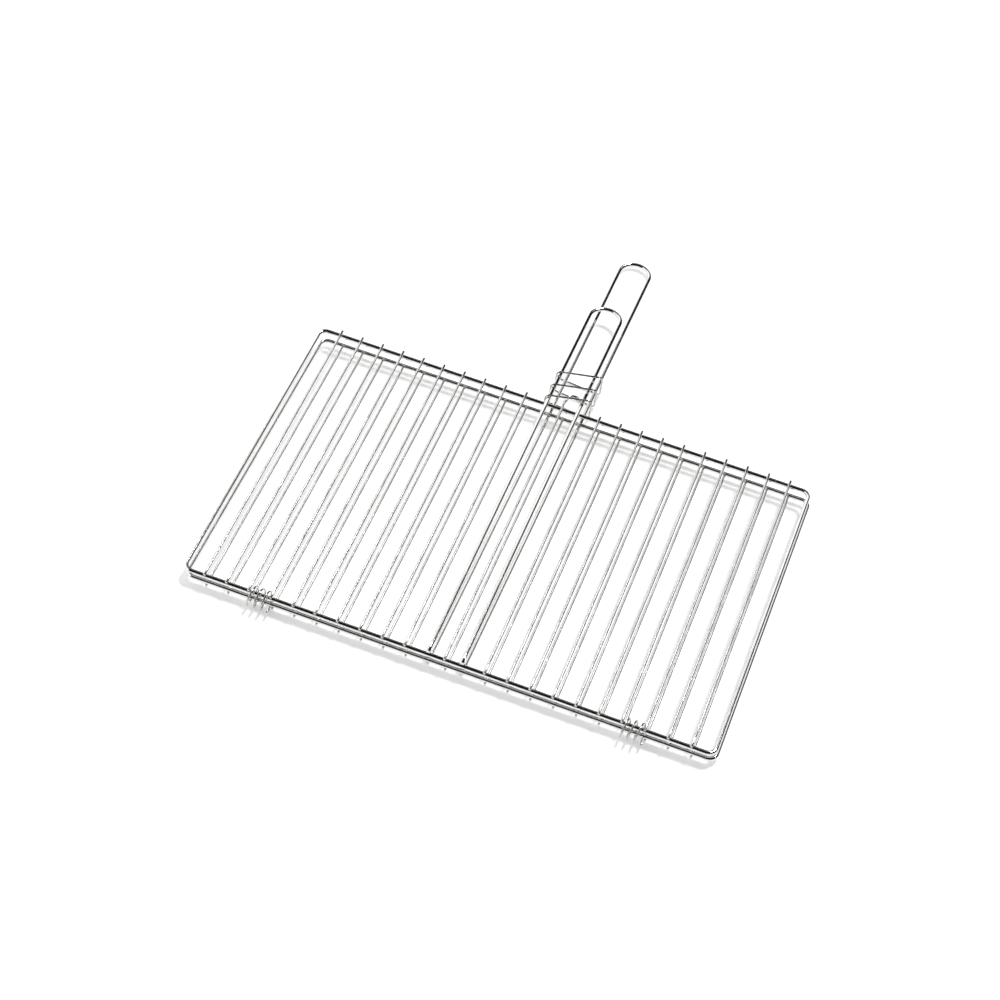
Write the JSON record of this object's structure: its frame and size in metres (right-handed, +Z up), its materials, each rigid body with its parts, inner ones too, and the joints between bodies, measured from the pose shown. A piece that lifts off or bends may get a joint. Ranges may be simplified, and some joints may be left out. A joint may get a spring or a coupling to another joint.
{
  "type": "grill basket",
  "caption": "Flat folding wire grill basket: rectangular welded grids hinged along one long edge, hairpin wire handles and a sliding wound-wire lock ring.",
  "frame": {"origin": "middle of the footprint, on the surface that the basket lies on", "axes": "+X along the hinged long edge, +Y from the hinge towards the handles' ends, +Z up through both grids"},
  "size_m": [0.6037, 0.6868, 0.0329],
  "materials": {
    "frame_wire": "bright chrome plate on drawn wire",
    "rod_wire": "bright chrome plate on thin drawn wire",
    "handle_wire": "bright chrome plate on drawn wire",
    "spring_wire": "chrome plate on wound wire"
  },
  "bodies": {
    "lower_grid": {"lower_frame_front_bar": "frame_wire", "lower_frame_back_bar": "frame_wire", "lower_frame_left_side": "frame_wire", "lower_frame_right_side": "frame_wire", "lower_rod_01": "rod_wire", "lower_rod_02": "rod_wire", "lower_rod_03": "rod_wire", "lower_rod_04": "rod_wire", "lower_rod_05": "rod_wire", "lower_rod_06": "rod_wire", "lower_rod_07": "rod_wire", "lower_rod_08": "rod_wire", "lower_rod_09": "rod_wire", "lower_rod_10": "rod_wire", "lower_rod_11": "rod_wire", "lower_rod_12": "rod_wire", "lower_rod_13": "rod_wire", "lower_rod_14": "rod_wire", "lower_rod_15": "rod_wire", "lower_rod_16": "rod_wire", "lower_rod_17": "rod_wire", "lower_rod_18": "rod_wire", "lower_rod_19": "rod_wire", "lower_rod_20": "rod_wire", "lower_centre_rod": "rod_wire", "lower_handle_left_leg": "handle_wire", "lower_handle_right_leg": "handle_wire", "lower_handle_loop": "handle_wire", "hinge_coil_left": "spring_wire", "hinge_coil_right": "spring_wire"},
    "upper_grid": {"upper_frame_front_bar": "frame_wire", "upper_frame_back_bar": "frame_wire", "upper_frame_left_side": "frame_wire", "upper_frame_right_side": "frame_wire", "upper_rod_01": "rod_wire", "upper_rod_02": "rod_wire", "upper_rod_03": "rod_wire", "upper_rod_04": "rod_wire", "upper_rod_05": "rod_wire", "upper_rod_06": "rod_wire", "upper_rod_07": "rod_wire", "upper_rod_08": "rod_wire", "upper_rod_09": "rod_wire", "upper_rod_10": "rod_wire", "upper_rod_11": "rod_wire", "upper_rod_12": "rod_wire", "upper_rod_13": "rod_wire", "upper_rod_14": "rod_wire", "upper_rod_15": "rod_wire", "upper_rod_16": "rod_wire", "upper_rod_17": "rod_wire", "upper_rod_18": "rod_wire", "upper_rod_19": "rod_wire", "upper_rod_20": "rod_wire", "upper_centre_rod": "rod_wire", "upper_handle_left_leg": "handle_wire", "upper_handle_right_leg": "handle_wire", "upper_handle_loop": "handle_wire"},
    "locking_ring": {"lock_ring": "spring_wire"}
  },
  "joints": [
    {"name": "grid_hinge", "type": "hinge", "parent": "lower_grid", "child": "upper_grid", "pos_m": [0, -0.3291, 0.0166], "axis": [1, 0, 0], "range_deg": [0, 155]},
    {"name": "ring_slide", "type": "slide", "parent": "lower_grid", "child": "locking_ring", "axis": [0, 1, 0], "range_m": [0, 0.182]}
  ]
}
